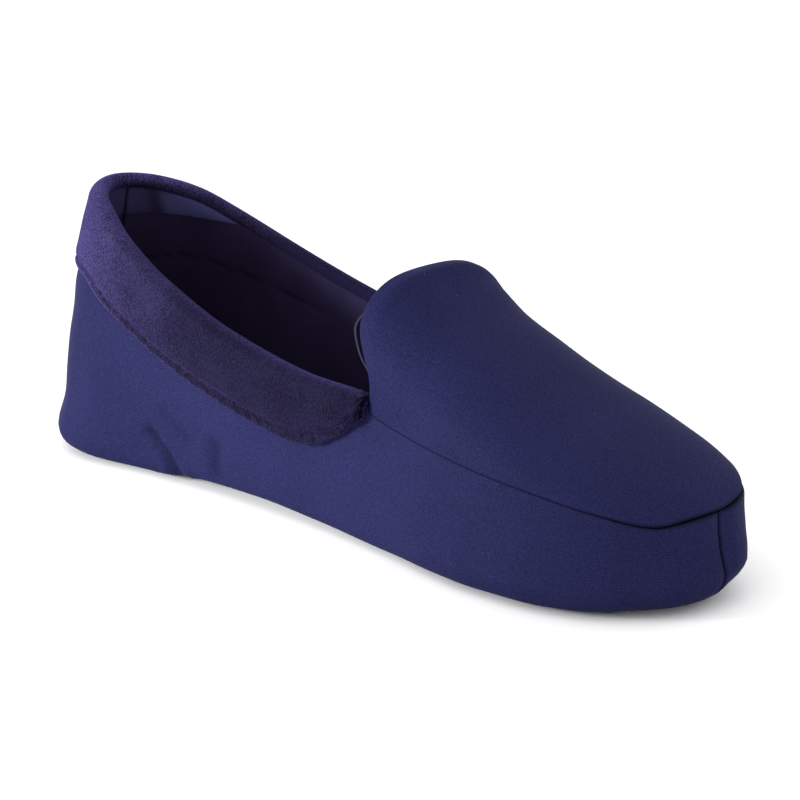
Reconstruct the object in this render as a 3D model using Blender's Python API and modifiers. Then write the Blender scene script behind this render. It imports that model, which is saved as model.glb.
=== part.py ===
"""Moccasin slipper for the left foot: sole panel, footbed, hollow upper, turned-down cuff and throat facing.

Metres, +Z up, toe along +X, the foot's outer side along +Y. The origin is on the floor, under the middle
of the slipper's box.
"""

from collections import namedtuple

import bmesh
import bpy
import numpy as np

# Driving dimensions
LENGTH = 0.2555
BALL_WIDTH = 0.0805
HEEL_HEIGHT = 0.0805
INSTEP_HEIGHT = 0.0785

# Thicknesses and clearances
WALL = 0.0022
SOLE_THICK = 0.0026
FOOTBED_THICK = 0.0040
CUFF_THICK = 0.0022
FACING_THICK = 0.0010
GAP = 0.0003
WELD = 0.00002

# Lower edge of the upper: the wall rounds under the foot, and its flange ends at the sole panel
FLANGE = 0.0030
FLOOR_CLEAR = 0.0004
FOOTBED_EASE = 0.0011

# Moccasin seam and throat: the throat's edge leans back over the collar between two shares of its height,
# and the lean fades forward and is eased on the outer side
CORNER = 0.589
SEAM_DIP = 0.0008
THROAT_LEAN = 0.0068
LEAN_LOW = 0.20
LEAN_HIGH = 0.74
LEAN_FADE = 0.030
LEAN_EASE = 0.40

# Cuff and throat facing
CUFF_FRONT = 0.584
CUFF_INSIDE = 0.0030
FACING_EASE = 0.0004
FACING_SHOW = 0.0030

# Mesh density: stations along one side, rows up the wall, points across
CUFF_STATIONS = 23
COLLAR_STATIONS = CUFF_STATIONS + 1
APRON_STATIONS = 20
ROUND_ROWS = 4
WALL_ROWS = 6
APRON_ACROSS = 16
PLATE_ACROSS = 6
CUFF_ROWS = 24
CUFF_STEPS_IN = 3
CUFF_STEPS_OVER = 5
CUFF_STEPS_DOWN = 6
FACING_STATIONS = 3

# Line of the wall's lower edge: half widths, lift of the underside at arch and toe, and the edge's rounding
EdgeRow = namedtuple("EdgeRow", "along inner outer lift rounding")
EDGE_LINE = [EdgeRow(*row) for row in (
    (0.000, 0.000, 0.000, 0.0000, 0.0074),
    (0.030, 0.242, 0.242, 0.0000, 0.0072),
    (0.070, 0.336, 0.338, 0.0000, 0.0062),
    (0.115, 0.362, 0.364, 0.0000, 0.0062),
    (0.210, 0.328, 0.368, 0.0000, 0.0055),
    (0.290, 0.324, 0.384, 0.0020, 0.0050),
    (0.390, 0.338, 0.412, 0.0024, 0.0050),
    (0.490, 0.355, 0.460, 0.0012, 0.0050),
    (0.620, 0.412, 0.513, 0.0000, 0.0055),
    (0.700, 0.467, 0.522, 0.0000, 0.0060),
    (0.760, 0.492, 0.510, 0.0000, 0.0063),
    (0.820, 0.491, 0.474, 0.0000, 0.0066),
    (0.880, 0.460, 0.412, 0.0002, 0.0070),
    (0.925, 0.402, 0.336, 0.0006, 0.0078),
    (0.960, 0.308, 0.250, 0.0010, 0.0088),
    (0.987, 0.196, 0.160, 0.0011, 0.0088),
    (1.000, 0.000, 0.000, 0.0012, 0.0086),
)]

# Upper edge of the wall: collar rim from the heel to the corner, a step down, and the apron seam round the
# toe; belly is how far the wall below swells out at half height, sag how far the line hangs on the inner side
TopRow = namedtuple("TopRow", "along inner outer height belly sag")
TOP_LINE = [TopRow(*row) for row in (
    (0.052, 0.000, 0.000, 1.006, 0.0012, 0.0000),
    (0.080, 0.168, 0.165, 0.988, 0.0013, 0.0000),
    (0.125, 0.254, 0.246, 0.952, 0.0014, 0.0000),
    (0.168, 0.308, 0.302, 0.890, 0.0012, 0.0000),
    (0.255, 0.360, 0.358, 0.776, 0.0012, 0.0000),
    (0.366, 0.382, 0.388, 0.664, 0.0010, 0.0008),
    (0.492, 0.388, 0.396, 0.577, 0.0010, 0.0005),
    (0.588, 0.381, 0.392, 0.541, 0.0010, 0.0000),
    (0.589, 0.381, 0.392, 0.518, 0.0010, 0.0000),
    (0.640, 0.401, 0.411, 0.481, 0.0010, 0.0000),
    (0.693, 0.422, 0.428, 0.456, 0.0010, 0.0000),
    (0.794, 0.447, 0.428, 0.424, 0.0006, 0.0000),
    (0.876, 0.437, 0.392, 0.400, 0.0000, 0.0000),
    (0.927, 0.383, 0.334, 0.377, -0.0004, 0.0005),
    (0.964, 0.260, 0.239, 0.359, -0.0008, 0.0022),
    (0.988, 0.000, 0.000, 0.346, -0.0008, 0.0000),
)]

# Apron: height of its crest, and how square its cross section is at the flank and at the crest
ApronRow = namedtuple("ApronRow", "along crest flank_power crest_power")
APRON = [ApronRow(*row) for row in (
    (0.589, 0.992, 3.20, 3.20),
    (0.600, 0.990, 3.05, 3.00),
    (0.612, 0.950, 2.90, 2.80),
    (0.645, 0.858, 2.65, 2.40),
    (0.693, 0.778, 2.50, 2.15),
    (0.754, 0.694, 2.40, 1.98),
    (0.814, 0.620, 2.35, 1.86),
    (0.874, 0.545, 2.30, 1.75),
    (0.925, 0.474, 2.20, 1.65),
    (0.964, 0.408, 2.10, 1.55),
    (0.988, 0.355, 2.00, 1.50),
)]

# Lower edge of the cuff
CuffRow = namedtuple("CuffRow", "along height")
CUFF_EDGE = [CuffRow(*row) for row in (
    (0.020, 0.712),
    (0.100, 0.708),
    (0.150, 0.652),
    (0.210, 0.572),
    (0.260, 0.504),
    (0.310, 0.450),
    (0.370, 0.400),
    (0.430, 0.360),
    (0.475, 0.340),
    (0.510, 0.350),
    (0.545, 0.400),
    (0.584, 0.488),
)]

INNER = -1.0
OUTER = 1.0


def read(rows, name, at):
    """Smooth curve through one column of a table, without overshoot, read at shares of the length."""
    x = np.array([row.along for row in rows])
    y = np.array([getattr(row, name) for row in rows])
    step = np.diff(x)
    rise = np.diff(y) / step
    turning = rise[:-1] * rise[1:] <= 0.0
    mean = 2.0 * rise[:-1] * rise[1:] / np.where(turning, 1.0, rise[:-1] + rise[1:])
    slope = np.concatenate((rise[:1], np.where(turning, 0.0, mean), rise[-1:]))
    at = np.clip(at, x[0], x[-1])
    i = np.clip(np.searchsorted(x, at) - 1, 0, len(x) - 2)
    t = (at - x[i]) / step[i]
    start = y[i] * (1 + 2 * t) * (1 - t) ** 2 + slope[i] * step[i] * t * (1 - t) ** 2
    end = y[i + 1] * t * t * (3 - 2 * t) + slope[i + 1] * step[i] * t * t * (t - 1)
    return start + end


def half_width(rows, name, at):
    """Half width at shares of the length: its square is read, so that heel and toe close round."""
    squares = [row._replace(**{name: getattr(row, name) ** 2}) for row in rows]
    return BALL_WIDTH * np.sqrt(np.clip(read(squares, name, at), 0.0, None))


def side_shares():
    """Shares of the way from heel to toe of one side's stations: cuff, then corner, then apron to the toe."""
    back = TOP_LINE[0].along
    front = TOP_LINE[-1].along
    cuff_end, corner = np.arccos(1 - 2 * (np.array((CUFF_FRONT, CORNER)) - back) / (front - back))
    cuff = np.linspace(0.0, cuff_end, CUFF_STATIONS + 1)
    apron = np.linspace(corner, np.pi, APRON_STATIONS + 1)
    return (1 - np.cos(np.concatenate((cuff, apron)))) / 2


def alongs(rows):
    """Shares of the slipper's length at the stations of a line."""
    return rows[0].along + (rows[-1].along - rows[0].along) * side_shares()


def closed_line(rows):
    """Plan points round a whole line: heel, inner side, toe and back along the outer side."""
    along = alongs(rows)
    inner = np.stack((LENGTH * along, INNER * half_width(rows, "inner", along)), axis=-1)
    outer = np.stack((LENGTH * along, OUTER * half_width(rows, "outer", along)), axis=-1)
    return np.concatenate((inner, outer[-2:0:-1]))


def plan_normals(line):
    """Outward plan normals of a closed line."""
    run = np.roll(line, -1, axis=0) - np.roll(line, 1, axis=0)
    run /= np.linalg.norm(run, axis=1, keepdims=True)
    return np.stack((run[:, 1], -run[:, 0]), axis=-1)


def edge_points(turn, flange, height):
    """Closed line on the wall's lower edge, turned under by an angle and then inward by a flange."""
    edge = closed_line(EDGE_LINE)
    radius = read(EDGE_LINE, "rounding", edge[:, 0] / LENGTH)
    inset = flange + radius * (1 - np.sin(turn))
    plan = edge - plan_normals(edge) * inset[:, None]
    lift = read(EDGE_LINE, "lift", plan[:, 0] / LENGTH)
    return np.column_stack((plan, lift + height + radius * (1 - np.cos(turn))))


def top_points():
    """Closed line along the collar rim and the apron seam, which hangs lower on the inner side."""
    top = closed_line(TOP_LINE)
    along = top[:, 0] / LENGTH
    sag = np.where(top[:, 1] < 0.0, read(TOP_LINE, "sag", along), 0.0)
    return np.column_stack((top, HEEL_HEIGHT * read(TOP_LINE, "height", along) - sag))


def wall_grid(rows_up):
    """Outer face of the wall in rows: flange under the foot, rounded edge, then up to the rim and seam."""
    rows = [edge_points(0.0, FLANGE, FLOOR_CLEAR)]
    for turn in np.linspace(0.0, np.pi / 2, ROUND_ROWS + 1):
        rows.append(edge_points(turn, 0.0, FLOOR_CLEAR))
    foot = rows[-1]
    top = top_points()
    belly = read(TOP_LINE, "belly", top[:, 0] / LENGTH)
    swell = np.column_stack((plan_normals(foot[:, :2]) * belly[:, None], np.zeros(len(foot))))
    for share in np.linspace(0.0, 1.0, rows_up + 1)[1:]:
        rows.append(foot + (top - foot) * share + swell * np.sin(np.pi * share))
    return np.array(rows)


def wall_normals(grid):
    """Outward normals of a wall grid, whose columns run round the slipper."""
    around = np.roll(grid, -1, axis=1) - np.roll(grid, 1, axis=1)
    normals = np.cross(around, np.gradient(grid, axis=0))
    return normals / np.linalg.norm(normals, axis=-1, keepdims=True)


def arch_angles():
    """Angles of the points across the apron, from inner seam to outer seam."""
    return np.linspace(0.0, np.pi, APRON_ACROSS + 1)


def apron_grid(along, angles):
    """Outer face of the apron: an arch across the foot at each station, from inner seam to outer seam."""
    inner = half_width(TOP_LINE, "inner", along)
    outer = half_width(TOP_LINE, "outer", along)
    seam = HEEL_HEIGHT * read(TOP_LINE, "height", along)
    sag = read(TOP_LINE, "sag", along)
    crest = INSTEP_HEIGHT * read(APRON, "crest", along)
    flank_power = read(APRON, "flank_power", along)
    crest_power = read(APRON, "crest_power", along)
    fade = np.clip(1 - LENGTH * (along - CORNER) / LEAN_FADE, 0.0, 1.0) ** 2
    columns = []
    for angle in angles:
        swing = np.sign(-np.cos(angle)) * np.abs(np.cos(angle)) ** (2 / flank_power)
        arch = np.sin(angle) ** (2 / crest_power)
        rise_up = np.clip((arch - LEAN_LOW) / (LEAN_HIGH - LEAN_LOW), 0.0, 1.0)
        lean = THROAT_LEAN * fade * (1 - LEAN_EASE * np.clip(swing, 0.0, 1.0))
        low = seam - sag * np.clip(-swing, 0.0, 1.0)
        x = LENGTH * along - lean * rise_up ** 2 * (3 - 2 * rise_up)
        y = (outer - inner) / 2 + swing * (outer + inner) / 2
        z = low + np.maximum(crest - low, 0.0) * arch
        columns.append(np.stack((x, y, z), axis=-1))
    return np.array(columns)


def place(points):
    """Moves points so that the origin lies under the middle of the slipper's box."""
    edge = closed_line(EDGE_LINE)
    middle = (edge.min(axis=0) + edge.max(axis=0)) / 2
    return np.asarray(points) - np.array((middle[0], middle[1], 0.0))


def add_grid(mesh, grid, wrap=False):
    """Adds a grid of points to a mesh as quads; wrap joins the last column to the first."""
    verts = [[mesh.verts.new(point) for point in row] for row in place(grid)]
    columns = len(verts[0])
    for low, high in zip(verts, verts[1:]):
        for i in range(columns if wrap else columns - 1):
            k = (i + 1) % columns
            mesh.faces.new((low[i], low[k], high[k], high[i]))


def finish(name, mesh, collection, material):
    """Welds a mesh and makes it a named object."""
    bmesh.ops.remove_doubles(mesh, verts=mesh.verts, dist=WELD)
    for face in mesh.faces:
        face.smooth = True
    data = bpy.data.meshes.new(name)
    mesh.to_mesh(data)
    mesh.free()
    data.materials.append(material)
    item = bpy.data.objects.new(name, data)
    collection.objects.link(item)
    return item


def thicken(item, thickness, outward):
    """Gives an open surface its thickness, outward or inward of the face that was modelled."""
    solid = item.modifiers.new("thickness", "SOLIDIFY")
    solid.thickness = thickness
    solid.offset = 1.0 if outward else -1.0
    solid.use_even_offset = True
    solid.use_quality_normals = True


def make_material(name, color, roughness):
    """Plain material of one part."""
    material = bpy.data.materials.new(name)
    material.use_nodes = True
    shader = material.node_tree.nodes["Principled BSDF"]
    shader.inputs["Base Color"].default_value = (*color, 1.0)
    shader.inputs["Roughness"].default_value = roughness
    shader.inputs["Metallic"].default_value = 0.0
    return material


def make_upper(collection, material):
    """Hollow upper: side wall and apron in one shell, creased along the moccasin seam."""
    wall = wall_grid(WALL_ROWS)
    apron = apron_grid(alongs(TOP_LINE)[COLLAR_STATIONS:], arch_angles())
    toe = COLLAR_STATIONS + APRON_STATIONS
    seam = slice(COLLAR_STATIONS, toe + APRON_STATIONS + 1)
    wall[-1, seam, :2] -= SEAM_DIP * plan_normals(wall[-1, :, :2])[seam]
    apron[0] = wall[-1, COLLAR_STATIONS:toe + 1]
    apron[-1] = wall[-1, toe:toe + APRON_STATIONS + 1][::-1]
    mesh = bmesh.new()
    add_grid(mesh, wall, wrap=True)
    add_grid(mesh, apron)
    thicken(finish("upper", mesh, collection, material), WALL, outward=False)


def make_plate(name, flange, height, thickness, collection, material):
    """Plate inside the wall's rounded edge, its underside at a height over the slipper's underside."""
    line = edge_points(0.0, flange, height)
    toe = len(line) // 2
    inner = line[:toe + 1]
    outer = np.concatenate((line[:1], line[:toe - 1:-1]))
    grid = np.array([inner + (outer - inner) * share for share in np.linspace(0.0, 1.0, PLATE_ACROSS + 1)])
    mesh = bmesh.new()
    add_grid(mesh, grid)
    thicken(finish(name, mesh, collection, material), thickness, outward=True)


def at_depth(values, depth, wanted):
    """Reads a column of points or normals at distances below its top."""
    return np.stack([np.interp(wanted, depth[::-1], values[::-1, axis]) for axis in range(3)], axis=-1)


def cuff_section(column, normals):
    """Face of the cuff against one column of the wall: inside the rim, over it and down the outer side."""
    lengths = np.linalg.norm(np.diff(column, axis=0), axis=1)
    depth = np.concatenate((np.cumsum(lengths[::-1])[::-1], np.zeros(1)))
    over_edge = column[:, 2] - HEEL_HEIGHT * read(CUFF_EDGE, "height", column[:, 0] / LENGTH)
    inside = np.linspace(CUFF_INSIDE, 0.0, CUFF_STEPS_IN + 1)
    outside = np.linspace(0.0, np.interp(0.0, over_edge, depth), CUFF_STEPS_DOWN + 1)
    inner_face = at_depth(column, depth, inside) - at_depth(normals, depth, inside) * (WALL + GAP)
    outer_face = at_depth(column, depth, outside) + at_depth(normals, depth, outside) * GAP
    up = (column[-1] - column[-2]) / lengths[-1]
    turns = np.linspace(0.0, np.pi, CUFF_STEPS_OVER + 1)[1:-1, None]
    roll = up * np.sin(turns) - normals[-1] * np.cos(turns)
    over = column[-1] - normals[-1] * WALL / 2 + roll * (WALL / 2 + GAP)
    return np.concatenate((inner_face, over, outer_face))


def make_cuff(collection, material):
    """Plush cuff, turned down over the collar rim from one corner round the heel to the other."""
    wall = wall_grid(CUFF_ROWS)
    normals = wall_normals(wall)
    foot = ROUND_ROWS + 1
    columns = np.arange(-CUFF_STATIONS, CUFF_STATIONS + 1)
    sections = np.array([cuff_section(wall[foot:, i], normals[foot:, i]) for i in columns])
    mesh = bmesh.new()
    add_grid(mesh, sections.transpose(1, 0, 2))
    thicken(finish("cuff", mesh, collection, material), CUFF_THICK, outward=False)


def make_facing(collection, material):
    """Thin facing inside the apron at the throat, whose edge shows behind the apron's own."""
    apron = alongs(TOP_LINE)[COLLAR_STATIONS:COLLAR_STATIONS + FACING_STATIONS]
    along = np.concatenate((apron[:1] - FACING_SHOW / LENGTH, apron))
    outside = apron_grid(along, arch_angles()[1:-1])
    normals = np.cross(np.gradient(outside, axis=1), np.gradient(outside, axis=0))
    normals /= np.linalg.norm(normals, axis=-1, keepdims=True)
    mesh = bmesh.new()
    add_grid(mesh, outside - normals * (WALL + FACING_EASE))
    thicken(finish("throat_facing", mesh, collection, material), FACING_THICK, outward=False)


def main():
    """Clears the scene and makes every part."""
    for item in list(bpy.data.objects):
        bpy.data.objects.remove(item)
    parts = bpy.data.collections.new("moccasin_slipper")
    bpy.context.scene.collection.children.link(parts)
    knit = make_material("navy_knit", (0.035, 0.030, 0.130), 0.70)
    plush = make_material("violet_plush", (0.050, 0.035, 0.130), 0.90)
    suede = make_material("dark_suede", (0.020, 0.018, 0.045), 0.90)
    lining = make_material("navy_lining", (0.015, 0.012, 0.045), 0.60)
    facing = make_material("navy_facing", (0.028, 0.024, 0.100), 0.60)
    make_upper(parts, knit)
    make_plate("sole", FLANGE + GAP, 0.0, SOLE_THICK, parts, suede)
    make_plate("footbed", FOOTBED_EASE, FLOOR_CLEAR + WALL + GAP, FOOTBED_THICK, parts, lining)
    make_cuff(parts, plush)
    make_facing(parts, facing)


main()
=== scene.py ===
"""Looks of a moccasin slipper: knit side wall and apron, plush cuff, satin facing, lining, footbed and sole.

Metres, +Z up, toe along +X, the foot's outer side along +Y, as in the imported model. Each piece starts as a
flat grid that is laid on the last's own surfaces, and keeps its place on the cloth, in metres, as its UV
map.
"""

import logging
import math
from dataclasses import dataclass
from enum import Enum
from functools import partial

import bmesh
import bpy
import numpy as np
from mathutils import Euler, Matrix, Vector
from mathutils.kdtree import KDTree


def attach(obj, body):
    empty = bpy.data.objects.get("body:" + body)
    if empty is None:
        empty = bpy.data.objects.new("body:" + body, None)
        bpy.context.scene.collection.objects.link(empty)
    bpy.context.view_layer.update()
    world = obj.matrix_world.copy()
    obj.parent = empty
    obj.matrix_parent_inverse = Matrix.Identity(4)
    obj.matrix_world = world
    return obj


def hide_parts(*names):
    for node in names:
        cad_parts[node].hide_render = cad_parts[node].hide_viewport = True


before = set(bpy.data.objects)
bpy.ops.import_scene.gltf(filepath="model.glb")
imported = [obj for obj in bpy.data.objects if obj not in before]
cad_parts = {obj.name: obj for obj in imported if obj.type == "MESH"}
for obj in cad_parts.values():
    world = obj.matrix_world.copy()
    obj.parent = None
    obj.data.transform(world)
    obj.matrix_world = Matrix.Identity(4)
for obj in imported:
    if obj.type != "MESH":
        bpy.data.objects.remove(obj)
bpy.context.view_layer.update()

LOG = logging.getLogger("slipper")
BODY = "root"
MM = 0.001
CLOTH = "cloth"
# Mark of dark seam lines and the frayed hem, and of shade painted into grooves, creases and recesses
SEAMS_AND_SHADE = "seam"
SATIN = "satin"
# Mark of painted light and shade: light painted on the cuff's pile at the heel, shade painted on it
# elsewhere and on the lining's satin
PAINTED_LIGHT_AND_SHADE = "nap"
WELD = 0.00001
LINE_SPACING = 0.02 * MM
UP = np.array((0.0, 0.0, 1.0))
SHADER = "Principled BSDF"
# The four edges of a grid of rows and columns
RIMS = (np.s_[0, :], np.s_[-1, :], np.s_[:, 0], np.s_[:, -1])
# Where a fade starts and ends, as shares of the slipper's length or of a turn, or as distances
Span = tuple[float, float]
NEAR_EDGE = tuple(step * MM for step in (2.6, 1.7, 1.1, 0.75, 0.5, 0.32, 0.18, 0.07, 0.0))


class Side(Enum):
    """The two sides of the foot, by the sign of Y."""

    INNER = -1.0
    OUTER = 1.0


@dataclass(frozen=True)
class Table:
    """A short table with named columns, each read as a smooth curve along the slipper.

    The first column is the share of the slipper's length, from heel to toe.
    """

    columns: tuple[str, ...]
    rows: tuple[tuple[float, ...], ...]

    def column(self, name: str) -> np.ndarray:
        """Values of one column."""
        return np.array([row[self.columns.index(name)] for row in self.rows])

    def ends(self) -> tuple[float, float]:
        """Shares of the length where the table starts and ends."""
        return self.rows[0][0], self.rows[-1][0]

    def read(self, name: str, at: np.ndarray, squared: bool = False) -> np.ndarray:
        """Reads the smooth curve through a column, which doesn't overshoot its rows.

        Args:
            name: The column to read.
            at: Shares of the slipper's length.
            squared: Reads the values' squares, so that a half width closes round at heel and toe.

        Returns:
            The column's values there.
        """
        x = self.column(self.columns[0])
        y = self.column(name) ** (2 if squared else 1)
        step = np.diff(x)
        rise = np.diff(y) / step
        turning = rise[:-1] * rise[1:] <= 0.0
        mean = 2.0 * rise[:-1] * rise[1:] / np.where(turning, 1.0, rise[:-1] + rise[1:])
        slope = np.concatenate((rise[:1], np.where(turning, 0.0, mean), rise[-1:]))
        at = np.clip(at, x[0], x[-1])
        i = np.clip(np.searchsorted(x, at) - 1, 0, len(x) - 2)
        t = (at - x[i]) / step[i]
        start = y[i] * (1 + 2 * t) * (1 - t) ** 2 + slope[i] * step[i] * t * (1 - t) ** 2
        end = y[i + 1] * t * t * (3 - 2 * t) + slope[i + 1] * step[i] * t * t * (t - 1)
        return np.sqrt(np.clip(start + end, 0.0, None)) if squared else start + end


# Line of the wall's lower edge: half widths, lift of the underside at arch and toe, and the edge's rounding
EDGE_LINE = Table(
    ("along", "inner", "outer", "lift", "rounding"),
    (
        (0.000, 0.000, 0.000, 0.0000, 0.0074),
        (0.030, 0.242, 0.242, 0.0000, 0.0072),
        (0.070, 0.336, 0.338, 0.0000, 0.0062),
        (0.115, 0.362, 0.364, 0.0000, 0.0062),
        (0.210, 0.328, 0.368, 0.0000, 0.0055),
        (0.290, 0.324, 0.384, 0.0020, 0.0050),
        (0.390, 0.338, 0.412, 0.0024, 0.0050),
        (0.490, 0.355, 0.460, 0.0012, 0.0050),
        (0.620, 0.412, 0.513, 0.0000, 0.0055),
        (0.700, 0.467, 0.522, 0.0000, 0.0060),
        (0.760, 0.492, 0.510, 0.0000, 0.0063),
        (0.820, 0.491, 0.474, 0.0000, 0.0066),
        (0.880, 0.460, 0.412, 0.0002, 0.0070),
        (0.925, 0.402, 0.336, 0.0006, 0.0078),
        (0.960, 0.308, 0.250, 0.0010, 0.0088),
        (0.987, 0.196, 0.160, 0.0011, 0.0088),
        (1.000, 0.000, 0.000, 0.0012, 0.0086),
    ),
)

# Upper edge of the wall: collar rim from heel to corner, a step down, and the apron seam round the toe;
# belly is how far the wall below swells out at half height, sag how far the line hangs on the inner side
TOP_LINE = Table(
    ("along", "inner", "outer", "height", "belly", "sag"),
    (
        (0.052, 0.000, 0.000, 1.006, 0.0012, 0.0000),
        (0.080, 0.168, 0.165, 0.988, 0.0013, 0.0000),
        (0.125, 0.254, 0.246, 0.952, 0.0014, 0.0000),
        (0.168, 0.308, 0.302, 0.890, 0.0012, 0.0000),
        (0.255, 0.360, 0.358, 0.776, 0.0012, 0.0000),
        (0.366, 0.382, 0.388, 0.664, 0.0010, 0.0008),
        (0.492, 0.388, 0.396, 0.577, 0.0010, 0.0005),
        (0.588, 0.381, 0.392, 0.541, 0.0010, 0.0000),
        (0.589, 0.381, 0.392, 0.518, 0.0010, 0.0000),
        (0.640, 0.401, 0.411, 0.481, 0.0010, 0.0000),
        (0.693, 0.422, 0.428, 0.456, 0.0010, 0.0000),
        (0.794, 0.447, 0.428, 0.424, 0.0006, 0.0000),
        (0.876, 0.437, 0.392, 0.400, 0.0000, 0.0000),
        (0.927, 0.383, 0.334, 0.377, -0.0004, 0.0005),
        (0.964, 0.260, 0.239, 0.359, -0.0008, 0.0022),
        (0.988, 0.000, 0.000, 0.346, -0.0008, 0.0000),
    ),
)

# Apron: height of its crest, and how square its cross section is at the flank and at the crest
APRON_LINE = Table(
    ("along", "crest", "flank_power", "crest_power"),
    (
        (0.589, 0.992, 3.20, 3.20),
        (0.600, 0.990, 3.05, 3.00),
        (0.612, 0.950, 2.90, 2.80),
        (0.645, 0.858, 2.65, 2.40),
        (0.693, 0.778, 2.50, 2.15),
        (0.754, 0.694, 2.40, 1.98),
        (0.814, 0.620, 2.35, 1.86),
        (0.874, 0.545, 2.30, 1.75),
        (0.925, 0.474, 2.20, 1.65),
        (0.964, 0.408, 2.10, 1.55),
        (0.988, 0.355, 2.00, 1.50),
    ),
)

# Cuff: height of its lower edge, width of its stitched hem, its reach down inside the collar, its thickness
# on the rim's inner face and on top, and the light painted on its pile (nap): bright at the heel, shaded at
# the front
CUFF_LINE = Table(
    ("along", "height", "hem", "inside", "inner", "top", "nap"),
    (
        (0.020, 0.745, 0.0022, 0.0002, 0.0008, 0.0027, 2.40),
        (0.100, 0.722, 0.0022, 0.0002, 0.0008, 0.0024, 2.20),
        (0.150, 0.652, 0.0022, 0.0002, 0.0008, 0.0019, 1.35),
        (0.210, 0.572, 0.0022, 0.0003, 0.0007, 0.0016, 0.45),
        (0.260, 0.504, 0.0024, 0.0004, 0.0006, 0.0014, 0.16),
        (0.310, 0.450, 0.0028, 0.0006, 0.0006, 0.0013, -0.24),
        (0.370, 0.400, 0.0032, 0.0006, 0.0006, 0.0013, -0.36),
        (0.430, 0.360, 0.0034, 0.0006, 0.0006, 0.0013, -0.34),
        (0.475, 0.340, 0.0038, 0.0006, 0.0006, 0.0013, -0.32),
        (0.510, 0.350, 0.0042, 0.0006, 0.0006, 0.0013, -0.32),
        (0.545, 0.400, 0.0045, 0.0006, 0.0006, 0.0013, -0.32),
        (0.588, 0.498, 0.0045, 0.0006, 0.0006, 0.0013, -0.36),
    ),
)

# Roll of the cloth into the apron seam on each side, tight at the corner and wide at the toe, and the shade
# painted into it
SEAM_LINE = Table(
    ("along", "inner", "outer", "shade"),
    (
        (0.055, 0.0006, 0.0006, 0.30),
        (0.589, 0.0002, 0.0002, 0.35),
        (0.700, 0.0002, 0.0003, 0.30),
        (0.860, 0.0003, 0.0008, 0.40),
        (0.950, 0.0007, 0.0018, 0.75),
        (0.988, 0.0014, 0.0014, 1.00),
    ),
)

# Lower edge of the satin band inside the heel, and the seam of the lining below it
INSIDE_LINE = Table(
    ("along", "band", "seam"),
    (
        (0.055, 0.0716, 0.0560),
        (0.096, 0.0712, 0.0573),
        (0.165, 0.0700, 0.0541),
        (0.262, 0.0690, 0.0484),
        (0.400, 0.0680, 0.0405),
        (0.583, 0.0660, 0.0340),
    ),
)


def unit(vectors: np.ndarray) -> np.ndarray:
    """Vectors scaled to length one."""
    return vectors / np.maximum(np.linalg.norm(vectors, axis=-1, keepdims=True), 1e-12)


def bump(distance: np.ndarray, width: float | np.ndarray) -> np.ndarray:
    """Bell-shaped share, one at no distance and about a third at the width."""
    return np.exp(-((distance / width) ** 2))


def fade(value: np.ndarray, start: float, end: float) -> np.ndarray:
    """Smooth share that goes from zero at start to one at end."""
    t = np.clip((value - start) / (end - start), 0.0, 1.0)
    return t * t * (3 - 2 * t)


def uneven(run: np.ndarray, pitch: float) -> np.ndarray:
    """Irregular wave between about minus one and one, as in cloth that is fed by hand."""
    turn = 2 * math.pi * run / pitch
    return 0.5 * np.sin(turn) + 0.3 * np.sin(1.76 * turn + 1.7) + 0.2 * np.sin(2.77 * turn + 0.4)


def sink(distance: np.ndarray, radius: np.ndarray) -> np.ndarray:
    """Depth of a rolled edge under the flat cloth, at a distance from its rim.

    Args:
        distance: Distance from the rim along the cloth.
        radius: Radius of the roll.

    Returns:
        The depth, which is the radius at the rim and nothing from a radius away.
    """
    short = np.clip(radius - distance, 0.0, radius)
    return radius - np.sqrt(np.clip(radius**2 - short**2, 0.0, None))


def grid_normals(grid: np.ndarray, closed: bool) -> np.ndarray:
    """Normals of a grid of points, on the side where columns, then rows, turn left.

    Args:
        grid: Points by row and column.
        closed: Whether the last column is followed by the first.

    Returns:
        A unit normal for each point.
    """
    if closed:
        across = np.roll(grid, -1, axis=1) - np.roll(grid, 1, axis=1)
    else:
        across = np.gradient(grid, axis=1)
    return unit(np.cross(across, np.gradient(grid, axis=0)))


def walked(grid: np.ndarray, axis: int) -> np.ndarray:
    """Distance walked over a grid from its first row or column.

    Args:
        grid: Points by row and column.
        axis: 0 to walk along each column, 1 to walk along each row.

    Returns:
        The distance at each point.
    """
    steps = np.linalg.norm(np.diff(grid, axis=axis), axis=-1)
    start = np.zeros_like(np.take(steps, [0], axis=axis))
    return np.concatenate((start, np.cumsum(steps, axis=axis)), axis=axis)


def read_line(at: np.ndarray | float, run: np.ndarray, values: np.ndarray) -> np.ndarray:
    """Reads vectors along a line.

    Args:
        at: Distances to read at.
        run: Distances of the line's own points.
        values: Vectors at those points.

    Returns:
        A vector for each distance.
    """
    return np.stack([np.interp(at, run, values[:, k]) for k in range(3)], axis=-1)


def resampled(line: np.ndarray, values: np.ndarray | None = None) -> np.ndarray:
    """Reads a line, or values along it, at close and even steps.

    Args:
        line: Points of the line.
        values: Vectors at those points, where they are wanted and not the points.

    Returns:
        The points or vectors, one for each step.
    """
    run = walked(line[None], 1)[0]
    steps = np.linspace(0.0, run[-1], int(run[-1] / LINE_SPACING) + 2)
    return read_line(steps, run, line if values is None else values)


def folded(face: np.ndarray, normals: np.ndarray, roll: float, turns: int, tucked: int) -> np.ndarray:
    """Cloth that is folded under along its first row.

    Args:
        face: Points of its face by row and column.
        normals: Outward normals there.
        roll: Radius of the fold.
        turns: Steps round the fold.
        tucked: Rows that lie under the face.

    Returns:
        Points from the last tucked row, round the fold and over the face.
    """
    angle = np.linspace(math.pi, 0.0, turns + 1)[:-1, None, None]
    back = unit(face[0] - face[1])
    fold = face[0] - normals[0] * roll + roll * (np.cos(angle) * normals[0] + np.sin(angle) * back)
    return np.concatenate(((face - normals * 2 * roll)[tucked:0:-1], fold, face))


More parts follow.
